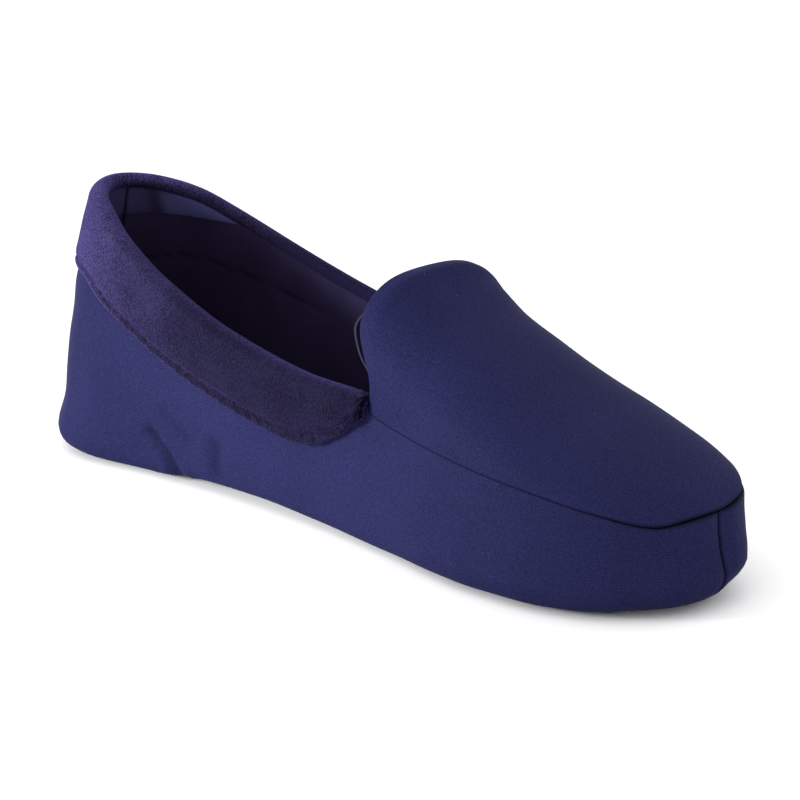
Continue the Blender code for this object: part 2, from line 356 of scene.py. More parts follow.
def nearest(points: np.ndarray, line: np.ndarray) -> tuple[np.ndarray, np.ndarray]:
    """Nearest point of a line for each of many points.

    Args:
        points: Points in any grid.
        line: Points of the line, at close steps.

    Returns:
        The index of the nearest line point, and the distance to it.
    """
    tree = KDTree(len(line))
    for i, point in enumerate(line):
        tree.insert(point, i)
    tree.balance()
    found = [tree.find(point)[1:] for point in points.reshape(-1, 3)]
    index = np.array([hit[0] for hit in found]).reshape(points.shape[:-1])
    distance = np.array([hit[1] for hit in found]).reshape(points.shape[:-1])
    return index, distance


@dataclass(frozen=True)
class Last:
    """The form that the slipper is sewn on, in its driving sizes, with its origin at the heel's back."""

    length: float = 0.2555
    ball_width: float = 0.0805
    heel_height: float = 0.0805
    instep_height: float = 0.0785
    wall: float = 0.0022
    gap: float = 0.0003
    flange: float = 0.0030
    floor_clear: float = 0.0004
    corner: float = 0.589
    cuff_front: float = 0.588
    throat_lean: float = 0.0068
    lean_low: float = 0.20
    lean_high: float = 0.74
    lean_fade: float = 0.030
    lean_ease: float = 0.40
    toe_turn: float = 15.0
    collar_steps: int = 140
    apron_steps: int = 124
    round_rows: int = 8
    wall_rows: int = 46
    arc_steps: int = 1600
    arc_crowding: int = 2
    arc_least: float = 6.0

    def shares(self) -> np.ndarray:
        """Stations of one side, as shares from heel to toe, close at the cuff's front and the toe."""
        back, front = TOP_LINE.ends()
        span = (front - back) / 2
        cuff_end, corner = np.arccos(1 - (np.array((self.cuff_front, self.corner)) - back) / span)
        near = np.array(NEAR_EDGE)
        steps = np.array((self.collar_steps, self.apron_steps)) + 2 - len(near)
        cuff_near = cuff_end - near / (self.length * span * math.sin(cuff_end))
        toe_near = math.pi - near * self.toe_turn
        cuff = np.linspace(0.0, cuff_near[0], steps[0])[:-1]
        apron = np.linspace(corner, toe_near[0], steps[1])[:-1]
        return (1 - np.cos(np.concatenate((cuff, cuff_near, apron, toe_near)))) / 2

    def toe(self) -> int:
        """Index of the toe's station."""
        return self.collar_steps + self.apron_steps + 1

    def stations(self, table: Table) -> np.ndarray:
        """Shares of the length at the stations of a table's line."""
        back, front = table.ends()
        return back + (front - back) * self.shares()

    def half_width(self, table: Table, side: Side, along: np.ndarray) -> np.ndarray:
        """Half width of a line on one side."""
        return self.ball_width * table.read(side.name.lower(), along, squared=True)

    def line(self, table: Table) -> np.ndarray:
        """Plan points round a line: heel, inner side, toe and back along the outer side."""
        along = self.stations(table)
        inner, outer = (
            np.stack((self.length * along, side.value * self.half_width(table, side, along)), axis=-1)
            for side in Side
        )
        return np.concatenate((inner, outer[-2:0:-1]))

    def plan_normals(self, line: np.ndarray) -> np.ndarray:
        """Outward plan normals of a closed line."""
        run = unit(np.roll(line, -1, axis=0) - np.roll(line, 1, axis=0))
        return np.stack((run[:, 1], -run[:, 0]), axis=-1)

    def edge(self, turn: float, flange: float, height: float) -> np.ndarray:
        """Closed line on the wall's rounded lower edge.

        Args:
            turn: Angle up the rounding, from 0 underneath to a quarter turn at the side.
            flange: Distance that the line lies further in.
            height: Height over the slipper's underside.

        Returns:
            Points from the heel round the inner side, the toe and the outer side.
        """
        line = self.line(EDGE_LINE)
        radius = EDGE_LINE.read("rounding", line[:, 0] / self.length)
        inset = flange + radius * (1 - math.sin(turn))
        plan = line - self.plan_normals(line) * inset[:, None]
        lift = EDGE_LINE.read("lift", plan[:, 0] / self.length)
        return np.column_stack((plan, lift + height + radius * (1 - math.cos(turn))))

    def top(self) -> np.ndarray:
        """Closed line along the collar's rim and the apron's seam, which hangs lower on the inner side."""
        line = self.line(TOP_LINE)
        along = line[:, 0] / self.length
        sag = np.where(line[:, 1] < 0.0, TOP_LINE.read("sag", along), 0.0)
        return np.column_stack((line, self.heel_height * TOP_LINE.read("height", along) - sag))

    def wall_grid(self) -> np.ndarray:
        """Outer face of the wall in rows, close together at the seam: flange, rounded edge, side."""
        rows = [self.edge(0.0, self.flange, self.floor_clear)]
        for turn in np.linspace(0.0, math.pi / 2, self.round_rows + 1):
            rows.append(self.edge(turn, 0.0, self.floor_clear))
        foot, top = rows[-1], self.top()
        reach = np.linalg.norm(top - foot, axis=1)
        belly = TOP_LINE.read("belly", top[:, 0] / self.length)
        swell = np.column_stack((self.plan_normals(foot[:, :2]) * belly[:, None], np.zeros(len(foot))))
        even = np.linspace(0.0, 1.0, self.wall_rows + 1)[1:]
        shares = [share * (1 - NEAR_EDGE[0] / reach) for share in even]
        shares += [1 - short / reach for short in NEAR_EDGE[1:]]
        for share in shares:
            rows.append(foot + (top - foot) * share[:, None] + swell * np.sin(math.pi * share)[:, None])
        return np.array(rows)

    def apron_arcs(self, along: np.ndarray, across: int) -> np.ndarray:
        """Outer face of the apron: an arch at each station, evenly stepped, with close steps at the seams.

        Args:
            along: Stations as shares of the length.
            across: Steps between the close ones.

        Returns:
            Points by station, and across from the inner to the outer seam.
        """
        seam = self.heel_height * TOP_LINE.read("height", along)
        sag = TOP_LINE.read("sag", along)
        top = self.instep_height * APRON_LINE.read("crest", along)
        inner, outer = (self.half_width(TOP_LINE, side, along) for side in Side)
        flank = 2 / APRON_LINE.read("flank_power", along)
        crest = 2 / APRON_LINE.read("crest_power", along)
        lean = np.clip(1 - self.length * (along - self.corner) / self.lean_fade, 0.0, 1.0) ** 2
        angle = np.linspace(0.0, math.pi, self.arc_steps + 1)
        for _ in range(self.arc_crowding):
            angle = math.pi * (1 - np.cos(angle)) / 2
        arcs = []
        for i in range(len(along)):
            swing = -np.sign(np.cos(angle)) * np.abs(np.cos(angle)) ** flank[i]
            arch = np.abs(np.sin(angle)) ** crest[i]
            eased = self.throat_lean * lean[i] * (1 - self.lean_ease * np.clip(swing, 0.0, 1.0))
            low = seam[i] - sag[i] * np.clip(-swing, 0.0, 1.0)
            x = self.length * along[i] - eased * fade(arch, self.lean_low, self.lean_high)
            y = (outer[i] - inner[i]) / 2 + swing * (outer[i] + inner[i]) / 2
            fine = np.stack((x, y, low + np.maximum(top[i] - low, 0.0) * arch), axis=-1)
            run = walked(fine[None], 1)[0]
            near = np.array(NEAR_EDGE[::-1]) * min(1.0, run[-1] / (self.arc_least * NEAR_EDGE[0]))
            middle = np.linspace(near[-1], run[-1] - near[-1], across + 1)[1:-1]
            wanted = np.concatenate((near, middle, run[-1] - near[::-1]))
            arcs.append(read_line(wanted, run, fine))
        return np.array(arcs)

    def place(self, points: np.ndarray) -> np.ndarray:
        """Points moved from the heel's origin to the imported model's, under the middle of its box."""
        line = self.line(EDGE_LINE)
        middle = (line.min(axis=0) + line.max(axis=0)) / 2
        return points - np.array((middle[0], middle[1], 0.0))


@dataclass
class Sheet:
    """A piece of cloth in rows and columns: its points, its places on the cloth and its named marks."""

    points: np.ndarray
    cloth: np.ndarray
    marks: dict[str, np.ndarray]

    def closed(self) -> "Sheet":
        """The sheet with its first column repeated as its last, for cloth that goes all round."""
        points = np.concatenate((self.points, self.points[:, :1]), axis=1)
        round_about = walked(points, 1).mean(axis=0)
        cloth = np.concatenate((self.cloth, self.cloth[:, :1]), axis=1)
        cloth[..., 0] = round_about
        marks = {name: np.concatenate((mark, mark[:, :1]), axis=1) for name, mark in self.marks.items()}
        return Sheet(points, cloth, marks)


def cloth_places(points: np.ndarray) -> np.ndarray:
    """Places on the cloth in metres: along the rows from their middle, and along the columns."""
    run = walked(points, 1)
    return np.stack((run - run[:, run.shape[1] // 2, None], walked(points, 0)), axis=-1)


def lay_grid(mesh: bmesh.types.BMesh, last: Last, sheet: Sheet, flip: bool = False) -> None:
    """Adds a flat grid to a mesh and lays it on a sheet's points.

    Args:
        mesh: The mesh that takes the grid.
        last: The form, which places the points.
        sheet: Points, cloth places and marks by row and column.
        flip: Turns the faces over, for a sheet whose columns and rows turn right.
    """
    points = last.place(sheet.points)
    rows, columns = points.shape[:2]
    uv = mesh.loops.layers.uv.get(CLOTH) or mesh.loops.layers.uv.new(CLOTH)
    floats = mesh.verts.layers.float
    layers = {name: floats.get(name) or floats.new(name) for name in sheet.marks}
    made = bmesh.ops.create_grid(mesh, x_segments=columns - 1, y_segments=rows - 1, size=0.5)
    for vert in made["verts"]:
        i = round((vert.co.y + 0.5) * (rows - 1))
        k = round((vert.co.x + 0.5) * (columns - 1))
        vert.co = points[i, k]
        for name, layer in layers.items():
            vert[layer] = sheet.marks[name][i, k]
        for loop in vert.link_loops:
            loop[uv].uv = sheet.cloth[i, k]
    if flip:
        faces = list({face for vert in made["verts"] for face in vert.link_faces})
        bmesh.ops.reverse_faces(mesh, faces=faces)


def make_piece(
    name: str, mesh: bmesh.types.BMesh, material: bpy.types.Material
) -> bpy.types.Object:
    """Welds a mesh, shades it smooth and makes it a piece that rides on the slipper.

    Args:
        name: The piece's name.
        mesh: The finished mesh, which is freed.
        material: Its finish.

    Returns:
        The piece.
    """
    bmesh.ops.remove_doubles(mesh, verts=mesh.verts, dist=WELD)
    for face in mesh.faces:
        face.smooth = True
    data = bpy.data.meshes.new(name)
    mesh.to_mesh(data)
    mesh.free()
    data.materials.append(material)
    piece = bpy.data.objects.new(name, data)
    bpy.context.scene.collection.objects.link(piece)
    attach(piece, BODY)
    LOG.info("%s: %d faces", name, len(data.polygons))
    return piece


def thicken(piece: bpy.types.Object, thickness: float) -> None:
    """Gives a sheet its thickness, inward of its faces."""
    solid = piece.modifiers.new("thickness", "SOLIDIFY")
    solid.thickness = thickness
    solid.offset = -1.0


def linear(code: str) -> tuple[float, float, float, float]:
    """Linear colour of an sRGB hex code."""
    parts = [int(code[i:i + 2], 16) / 255 for i in (1, 3, 5)]
    return (*[p / 12.92 if p <= 0.04045 else ((p + 0.055) / 1.055) ** 2.4 for p in parts], 1.0)


def add_node(
    tree: bpy.types.NodeTree,
    kind: str,
    output: str,
    inputs: dict[str | int, object] | None = None,
    **settings: object,
) -> bpy.types.NodeSocket:
    """Adds a shader node with its settings, input values and links.

    Args:
        tree: The node tree.
        kind: The node's type, without the ShaderNode in front.
        output: Name of the output that is wanted.
        inputs: Values by input name or index; a socket is linked and any other value is set.
        settings: The node's own properties.

    Returns:
        The wanted output.
    """
    node = tree.nodes.new(f"ShaderNode{kind}")
    for name, value in settings.items():
        setattr(node, name, value)
    for key, value in (inputs or {}).items():
        named = [socket for socket in node.inputs if socket.enabled and socket.name == key]
        socket = named[0] if named else node.inputs[key]
        if isinstance(value, bpy.types.NodeSocket):
            tree.links.new(value, socket)
        else:
            socket.default_value = value
    return next(socket for socket in node.outputs if socket.enabled and socket.name == output)


def start_material(name: str, values: dict[str, object]) -> bpy.types.Material:
    """Starts a material and sets what is the same all over its surface.

    Args:
        name: The material's name.
        values: Values of the shader's inputs.

    Returns:
        The material.
    """
    material = bpy.data.materials.new(name)
    material.use_nodes = True
    for key, value in values.items():
        material.node_tree.nodes[SHADER].inputs[key].default_value = value
    return material


def link_shader(material: bpy.types.Material, sockets: dict[str, bpy.types.NodeSocket]) -> None:
    """Links what varies over a material's surface to its shader's inputs.

    Args:
        material: The material.
        sockets: Outputs of nodes by the input that each goes to.
    """
    tree = material.node_tree
    for name, socket in sockets.items():
        tree.links.new(socket, tree.nodes[SHADER].inputs[name])


def band_scale(pitch: float) -> float:
    """Scale of a wave texture whose bands are a pitch apart, in metres."""
    return 2 * math.pi / (20 * pitch)


@dataclass(frozen=True)
class KnitFinish:
    """Stretch knit of fine polyamide, tightly looped and calendered.

    It looks smooth and even with a soft satin bloom where it turns away; fine ribs follow the cloth's grain,
    which may be turned, and a little lint shows as pale specks.
    """

    name: str = "navy_stretch_knit_looped"
    dark: str = "#14152f"
    light: str = "#24254c"
    # groove is the colour of painted shade in the seams' grooves and in the creases
    groove: str = "#07060f"
    lint: str = "#4c4c78"
    bloom: str = "#4c50c0"
    # The real ribs are a little over half a millimetre apart, too fine to show, so they are drawn wider
    rib_pitch: float = 0.80 * MM
    rib_tone: float = 0.10
    rib_height: float = 0.4
    grain: float = 0.50 * MM
    patch: float = 26 * MM
    patch_tone: float = 0.20
    tones: Span = (0.37, 0.93)
    relief: float = 0.10 * MM
    lint_spacing: float = 7 * MM
    lint_radius: float = 0.22 * MM
    grain_turn: float = 0.0

    def make(self) -> bpy.types.Material:
        """Makes the material."""
        values = {
            "Roughness": 0.60,
            "Specular IOR Level": 0.02,
            "Sheen Weight": 0.03,
            "Sheen Roughness": 0.30,
            "Sheen Tint": linear(self.bloom),
        }
        material = start_material(self.name, values)
        node = partial(add_node, material.node_tree)
        place = node("TexCoord", "Object")
        cloth = node("UVMap", "UV", uv_map=CLOTH)
        turned = node("Mapping", "Vector", {"Vector": cloth, "Rotation": (0.0, 0.0, self.grain_turn)})
        rib = {"Scale": band_scale(self.rib_pitch), "Distortion": 0.8, "Detail Scale": 0.6}
        ribs = node("TexWave", "Fac", {"Vector": turned} | rib, bands_direction="Y")
        grain, patches = (
            node("TexNoise", "Fac", {"Vector": place, "Scale": 1 / size, "Detail": detail})
            for size, detail in ((self.grain, 2.0), (self.patch, 1.0))
        )
        lint = node("TexVoronoi", "Distance", {"Vector": place, "Scale": 1 / self.lint_spacing})
        spot = self.lint_radius / self.lint_spacing
        specks = node("MapRange", "Result", {"Value": lint, "From Min": spot, "From Max": spot / 3})
        tone = node("Math", "Value", {0: patches, 1: self.patch_tone, 2: grain}, operation="MULTIPLY_ADD")
        tone = node("Math", "Value", {0: ribs, 1: self.rib_tone, 2: tone}, operation="MULTIPLY_ADD")
        low, high = self.tones
        share = node("MapRange", "Result", {"Value": tone, "From Min": low, "From Max": high})
        # The seam mark paints shade into the seams' grooves and the creases
        seam = node("Attribute", "Fac", attribute_name=SEAMS_AND_SHADE)
        colour = linear(self.dark)
        for factor, over in ((share, self.light), (specks, self.lint), (seam, self.groove)):
            layer = {"Factor": factor, "A": colour, "B": linear(over)}
            colour = node("Mix", "Result", layer, data_type="RGBA")
        height = node("Math", "Value", {0: ribs, 1: self.rib_height, 2: grain}, operation="MULTIPLY_ADD")
        normal = node("Bump", "Normal", {"Height": height, "Strength": 0.30, "Distance": self.relief})
        link_shader(material, {"Base Color": colour, "Normal": normal})
        return material


@dataclass(frozen=True)
class PlushFinish:
    """Polyester velour plush, knitted with cut loops and brushed.

    The pile is dark seen from above and blooms violet at a slant; the nap lies in streaks and soft patches,
    lit or shaded by painted light and shade from the piece's nap mark. Where the hem is marked it frays into
    curls, whose dark tone also paints shade into the stitched groove, and where the cloth laps over the rim
    its smooth back shows.
    """

    name: str = "violet_velour_plush_brushed"
    dark: str = "#090714"
    light: str = "#1e1b35"
    # hem and curls are the frayed hem's curls; laid into the stitched groove they also stand for painted
    # shade
    hem: str = "#050409"
    curls: str = "#241d36"
    lap: str = "#15132b"
    bloom: str = "#655bb0"
    # Single fibres are too fine to show, so tufts of many fibres are drawn for them
    tuft: float = 0.42 * MM
    tones: Span = (0.78, 0.97)
    curl: float = 1.1 * MM
    curl_tones: Span = (0.42, 0.62)
    streak_width: float = 0.40 * MM
    streak_length: float = 1.3 * MM
    streak_tone: float = 0.45
    patch: float = 13 * MM
    patch_tone: float = 0.30
    relief: float = 0.50 * MM

    def make(self) -> bpy.types.Material:
        """Makes the material."""
        values = {
            "Roughness": 0.95,
            "Specular IOR Level": 0.05,
            "Sheen Weight": 0.50,
            "Sheen Roughness": 0.38,
            "Sheen Tint": linear(self.bloom),
        }
        material = start_material(self.name, values)
        node = partial(add_node, material.node_tree)
        place = node("TexCoord", "Object")
        cloth = node("UVMap", "UV", uv_map=CLOTH)
        stroke = (1 / self.streak_width, 1 / self.streak_length, 1.0)
        combed = node("Mapping", "Vector", {"Vector": cloth, "Scale": stroke})
        streaks = node("TexNoise", "Fac", {"Vector": combed, "Scale": 1.0, "Detail": 2.0})
        cut = {"Scale": 1 / self.tuft, "Detail": 1.5, "Roughness": 0.60}
        tufts = node("TexNoise", "Fac", {"Vector": place} | cut)
        patches = node("TexNoise", "Fac", {"Vector": place, "Scale": 1 / self.patch, "Detail": 2.0})
        frayed = {"Scale": 1 / self.curl, "Detail": 2.0, "Distortion": 1.5}
        curls = node("TexNoise", "Fac", {"Vector": place} | frayed)
        nap = node("Math", "Value", {0: streaks, 1: self.streak_tone, 2: tufts}, operation="MULTIPLY_ADD")
        tone = node("Math", "Value", {0: patches, 1: self.patch_tone, 2: nap}, operation="MULTIPLY_ADD")
        share, curled = (
            node("MapRange", "Result", {"Value": value, "From Min": low, "From Max": high})
            for value, (low, high) in ((tone, self.tones), (curls, self.curl_tones))
        )
        pile, fuzz = (
            node("Mix", "Result", {"Factor": factor, "A": linear(low), "B": linear(high)}, data_type="RGBA")
            for factor, low, high in ((share, self.dark, self.light), (curled, self.hem, self.curls))
        )
        # The hem mark mixes in the frayed curls and paints shade into the stitched groove; the nap mark is
        # painted light and shade that scales the pile's colour
        hem, light_mark, lap = (node("Attribute", "Fac", attribute_name=mark) for mark in (SEAMS_AND_SHADE, PAINTED_LIGHT_AND_SHADE, SATIN))
        hemmed = node("Mix", "Result", {"Factor": hem, "A": pile, "B": fuzz}, data_type="RGBA")
        painted_gain = node("Math", "Value", {0: light_mark, 1: 1.0}, operation="ADD")
        brushed = node("VectorMath", "Vector", {"Vector": hemmed, "Scale": painted_gain}, operation="SCALE")
        lapped = {"Factor": lap, "A": brushed, "B": linear(self.lap)}
        colour = node("Mix", "Result", lapped, data_type="RGBA")
        height = node("Math", "Value", {0: curls, 1: hem, 2: nap}, operation="MULTIPLY_ADD")
        normal = node("Bump", "Normal", {"Height": height, "Strength": 0.90, "Distance": self.relief})
        link_shader(material, {"Base Color": colour, "Normal": normal})
        return material


@dataclass(frozen=True)
class ClothFinish:
    """Woven or brushed cloth of one colour, with a band of satin where the piece is marked for it.

    A fine weave breaks up the light, patches vary the tone, and the satin is paler and smoother, less so
    where painted shade from the piece's nap mark darkens and roughens it. On the facing the paler band is a
    painted gleam on its folded edge, and the seam colour is painted shade in the recess behind it.
    """

    name: str
    dark: str
    light: str
    seam: str
    # Weaves that are too fine to show are drawn coarser, up to about a millimetre
    weave: float
    patch: float
    relief: float
    roughness: float
    sheen: float
    bloom: str
    specular: float = 0.06
    satin: str = "#000000"
    satin_roughness: float = 1.0
    weave_tone: float = 0.25
    tones: Span = (0.35, 0.85)

    def make(self) -> bpy.types.Material:
        """Makes the material."""
        values = {
            "Specular IOR Level": self.specular,
            "Sheen Weight": self.sheen,
            "Sheen Roughness": 0.45,
            "Sheen Tint": linear(self.bloom),
        }
        material = start_material(self.name, values)
        node = partial(add_node, material.node_tree)
        place = node("TexCoord", "Object")
        cloth = node("UVMap", "UV", uv_map=CLOTH)
        thread = {"Vector": cloth, "Scale": band_scale(self.weave), "Distortion": 1.0}
        warp, weft = (node("TexWave", "Fac", thread, bands_direction=way) for way in ("X", "Y"))
        patches = node("TexNoise", "Fac", {"Vector": place, "Scale": 1 / self.patch, "Detail": 4.0})
        woven = node("Math", "Value", {0: warp, 1: weft}, operation="MULTIPLY")
        tone = node("Math", "Value", {0: woven, 1: self.weave_tone, 2: patches}, operation="MULTIPLY_ADD")
        low, high = self.tones
        share = node("MapRange", "Result", {"Value": tone, "From Min": low, "From Max": high})
        # The nap mark is painted shade that darkens and roughens the satin band
        band, satin_shade, seam = (node("Attribute", "Fac", attribute_name=mark) for mark in (SATIN, PAINTED_LIGHT_AND_SHADE, SEAMS_AND_SHADE))
        edge = node("Clamp", "Result", {"Value": band})
        unshaded = node("Math", "Value", {0: 1.0, 1: satin_shade}, operation="SUBTRACT")
        satin = node("Math", "Value", {0: edge, 1: unshaded}, operation="MULTIPLY")
        colour = linear(self.dark)
        for factor, over in ((share, self.light), (satin, self.satin), (seam, self.seam)):
            layer = {"Factor": factor, "A": colour, "B": linear(over)}
            colour = node("Mix", "Result", layer, data_type="RGBA")
        ends = {"To Min": self.roughness, "To Max": self.satin_roughness}
        rough = node("MapRange", "Result", {"Value": satin} | ends)
        normal = node("Bump", "Normal", {"Height": tone, "Strength": 0.4, "Distance": self.relief})
        link_shader(material, {"Base Color": colour, "Roughness": rough, "Normal": normal})
        return material


# Warp-knit polyester tricot, brushed inside: nearly black, with a satin tape bound round the heel
LINING_TRICOT = ClothFinish(
    name="navy_tricot_lining_brushed",
    dark="#1f172e",
    light="#281f3a",
    satin="#3d3b62",
    seam="#08040c",
    weave=0.9 * MM,
    patch=12 * MM,
    relief=0.08 * MM,
    roughness=0.75,
    satin_roughness=0.45,
    sheen=0.02,
    bloom="#3a3460",
)
# Satin-faced binding cloth, pressed flat: a thin line with a painted grey gleam on its edge and painted
# shade in the recess behind it
FACING_SATIN = ClothFinish(
    name="navy_satin_facing_pressed",
    dark="#0f0e16",
    light="#15141e",
    satin="#2c2a3b",
    seam="#08060e",
    weave=0.5 * MM,
    patch=8 * MM,
    relief=0.05 * MM,
    roughness=0.90,
    satin_roughness=0.80,
    sheen=0.0,
    bloom="#7c7ca8",
    specular=0.0,
)
# Brushed terry over foam, laid as the footbed: soft, dark and a little pilled
FOOTBED_TERRY = ClothFinish(
    name="navy_terry_footbed_brushed",
    dark="#100b1c",
    light="#1d1733",
    seam="#08050e",
    weave=1.4 * MM,
    patch=3 * MM,
    relief=0.25 * MM,
    roughness=0.95,
    sheen=0.25,
    bloom="#4a4280",
)
# Split cowhide suede, napped: matt, with short pale and dark strokes of nap
SOLE_SUEDE = ClothFinish(
    name="navy_split_suede_napped",
    dark="#15132a",
    light="#262344",
    seam="#0a0914",
    weave=1.1 * MM,
    patch=2.2 * MM,
    relief=0.18 * MM,
    roughness=0.95,
    sheen=0.35,
    bloom="#55518a",
)
# Bonded polyester sewing thread, twisted: a little brighter than the suede, with a soft gleam
SOLE_THREAD = ClothFinish(
    name="navy_bonded_thread_twisted",
    dark="#262452",
    light="#35336a",
    seam="#1a1838",
    weave=0.25 * MM,
    patch=1.5 * MM,
    relief=0.06 * MM,
    roughness=0.50,
    sheen=0.10,
    bloom="#7472b4",
)


@dataclass(frozen=True)
class Crease:
    """A soft trough, or a ridge where its depth is below zero, through a few places on the wall.

    A place is a share of the slipper's length and a height over the floor.
    """

    places: tuple[tuple[float, float], ...]
    depth: float
    width: float
    side: Side = Side.INNER
    side_fade: float = 6 * MM

    def relief(self, points: np.ndarray, length: float) -> np.ndarray:
        """How far the crease lets the wall in.

        Args:
            points: Points of the wall.
            length: The slipper's length.

        Returns:
            The depth at each point.
        """
        places = np.array(self.places) * np.array((length, 1.0))
        away = np.full(points.shape[:-1], np.inf)
        for start, end in zip(places, places[1:]):
            run = end - start
            flat = points[..., [0, 2]] - start
            share = np.clip(flat @ run / (run @ run), 0.0, 1.0)
            away = np.minimum(away, np.linalg.norm(flat - share[..., None] * run, axis=-1))
        beside = fade(points[..., 1] * self.side.value, 0.0, self.side_fade)
        return self.depth * bump(away, self.width) * beside


@dataclass
class Upper:
    """Outside of the upper: a knit side wall, sewn at toe and heel, and an apron with a folded throat."""

    last: Last
    knit: KnitFinish = KnitFinish()
    apron_knit: KnitFinish = KnitFinish(name="navy_stretch_knit_bias", grain_turn=0.85)
    cloth: float = 0.5 * MM
    seam_tilt: float = 0.35
    seam_shade: float = 0.25 * MM
    toe_seam_depth: float = 1.0 * MM
    toe_seam_width: float = 0.52 * MM
    toe_pull_depth: float = 0.5 * MM
    toe_pull_width: float = 4 * MM
    heel_seam_depth: float = 0.30 * MM
    heel_seam_width: float = 0.7 * MM
    heel_seam_shade: float = 0.35
    heel_until: Span = (0.05, 0.16)
    stands_from: Span = (0.6 * MM, 4 * MM)
    toe_shade_from: Span = (2 * MM, 6 * MM)
    hem_roll: float = 0.60 * MM
    hem_steps: tuple[float, ...] = (0.0, 0.4, 0.9, 1.5, 2.2, 3.0, 4.0, 5.0)
    hem_clear: float = 0.002
    hem_turns: int = 10
    across: int = 96
    creases: tuple[Crease, ...] = (
        Crease(((0.222, 0.0152), (0.247, 0.0095), (0.258, 0.0035)), 1.4 * MM, 1.8 * MM),
        Crease(((0.192, 0.0158), (0.231, 0.0089), (0.242, 0.0025)), -0.6 * MM, 1.5 * MM),
        Crease(((0.243, 0.0135), (0.265, 0.0086), (0.281, 0.0037)), -0.6 * MM, 1.4 * MM),
        Crease(((0.250, 0.0230), (0.285, 0.0160)), 0.6 * MM, 2.6 * MM),
        Crease(((0.333, 0.0165), (0.329, 0.0085)), 1.0 * MM, 2.8 * MM),
        Crease(((0.984, 0.0160), (0.984, 0.0190)), -1.1 * MM, 7.0 * MM, Side.OUTER),
        Crease(((0.950, 0.0040), (0.995, 0.0040)), 1.2 * MM, 5.0 * MM, Side.OUTER),
    )
    crease_shade: float = 0.45
    crease_full: float = 1.5 * MM
    heel_waves: tuple[tuple[float, float, float], ...] = (
        (55, -1.2, 8),
        (38, -0.4, 8),
        (18, 0.5, 6),
        (8, -0.8, 5),
    )

    def seam_line(self) -> tuple[np.ndarray, np.ndarray]:
        """The apron seam at close steps, from corner to corner round the toe.

        Returns:
            Its points, and the directions in which the cloth rolls out of it.
        """
        grid = self.last.wall_grid()
        normals = grid_normals(grid, closed=True)[-1]
        outward = unit(normals + self.seam_tilt * UP)
        start, toe = self.last.collar_steps + 1, self.last.toe()
        seam = slice(start, 2 * toe - start + 1)
        return resampled(grid[-1, seam]), unit(resampled(grid[-1, seam], outward[seam]))

    def seam_look(self, points: np.ndarray, away: np.ndarray) -> tuple[np.ndarray, np.ndarray]:
        """Roll and shade of the apron seam.

        Args:
            points: Places on the seam.
            away: Distances of the cloth from those places.

        Returns:
            The roll's radius, and the shade painted on the cloth in the seam's groove.
        """
        along = points[..., 0] / self.last.length
        inner, outer, shade = (SEAM_LINE.read(name, along) for name in ("inner", "outer", "shade"))
        roll = np.where(points[..., 1] < 0.0, inner, outer)
        return roll, shade * bump(away, self.seam_shade + roll / 2)

    def wall(self) -> Sheet:
        """The side wall with its rolled upper edge, its toe and heel seams and its creases."""
        last = self.last
        grid = last.wall_grid()
        normals = grid_normals(grid, closed=True)
        height = walked(grid, 0)
        below = height[-1] - height
        along = grid[-1, :, 0] / last.length
        roll, shade = self.seam_look(grid[-1], below)
        outward = unit(normals[-1] + self.seam_tilt * UP)
        run = walked(grid[[last.round_rows + 1]], 1)[0]
        from_toe = np.abs(run - run[last.toe()])
        from_heel = np.minimum(run, run[-1] - run)
        standing = fade(grid[..., 2], *self.stands_from)
        relief = sum(crease.relief(grid, last.length) for crease in self.creases)
        # Painted shade in the creases' troughs on the inner side
        painted_crease_shade = self.crease_shade * np.clip(relief / self.crease_full, 0.0, 1.0) * (grid[..., 1] < 0.0)
        for away, depth, width in (
            (from_toe, self.toe_pull_depth, self.toe_pull_width),
            (from_toe, self.toe_seam_depth, self.toe_seam_width),
            (from_heel, self.heel_seam_depth, self.heel_seam_width),
        ):
            relief = relief + depth * bump(away, width)
        behind = 1 - fade(grid[..., 0] / last.length, *self.heel_until)
        for middle, depth, width in self.heel_waves:
            relief = relief + depth * MM * behind * bump(grid[..., 2] - middle * MM, width * MM)
        points = grid - normals * (relief * standing)[..., None]
        points -= outward * sink(below, roll)[..., None]
        # Painted shade in the grooves of the toe seam and the heel seam
        toe_seam_shade = bump(from_toe, self.toe_seam_width) * fade(grid[..., 2], *self.toe_shade_from)
        heel_groove_shade = self.heel_seam_shade * bump(from_heel, self.heel_seam_width / 2) * standing
        on_apron = along > (last.corner + last.cuff_front) / 2
        shade = np.maximum.reduce((shade * on_apron, toe_seam_shade, heel_groove_shade, painted_crease_shade))
        return Sheet(points, np.stack((np.zeros_like(height), height), axis=-1), {SEAMS_AND_SHADE: shade})

    def apron(self) -> Sheet:
        """The apron, rolled into its seam and folded under at the throat."""
        last = self.last
        stations = last.stations(TOP_LINE)[last.collar_steps + 1:]
        throat = last.corner + (self.hem_roll + np.array(self.hem_steps) * MM) / last.length
        beyond = stations[stations > throat[-1] + self.hem_clear]
        base = last.apron_arcs(np.concatenate((throat, beyond)), self.across)
        normals = -grid_normals(base, closed=False)
        line, outward = self.seam_line()
        index, distance = nearest(base, line)
        # Shade painted into the seam's groove
        roll, shade = self.seam_look(line[index], distance)
        own = np.clip(distance / (2 * roll), 0.0, 1.0)[..., None]
        lean = unit(outward[index] * (1 - own) + normals * own)
        base = base - lean * sink(distance, roll)[..., None]
        tucked = len(self.hem_steps) - 1
        points = folded(base, normals, self.hem_roll, self.hem_turns, tucked)
        shade = np.concatenate((shade[tucked:0:-1], np.repeat(shade[:1], self.hem_turns, axis=0), shade))
        return Sheet(points, cloth_places(points), {SEAMS_AND_SHADE: shade})

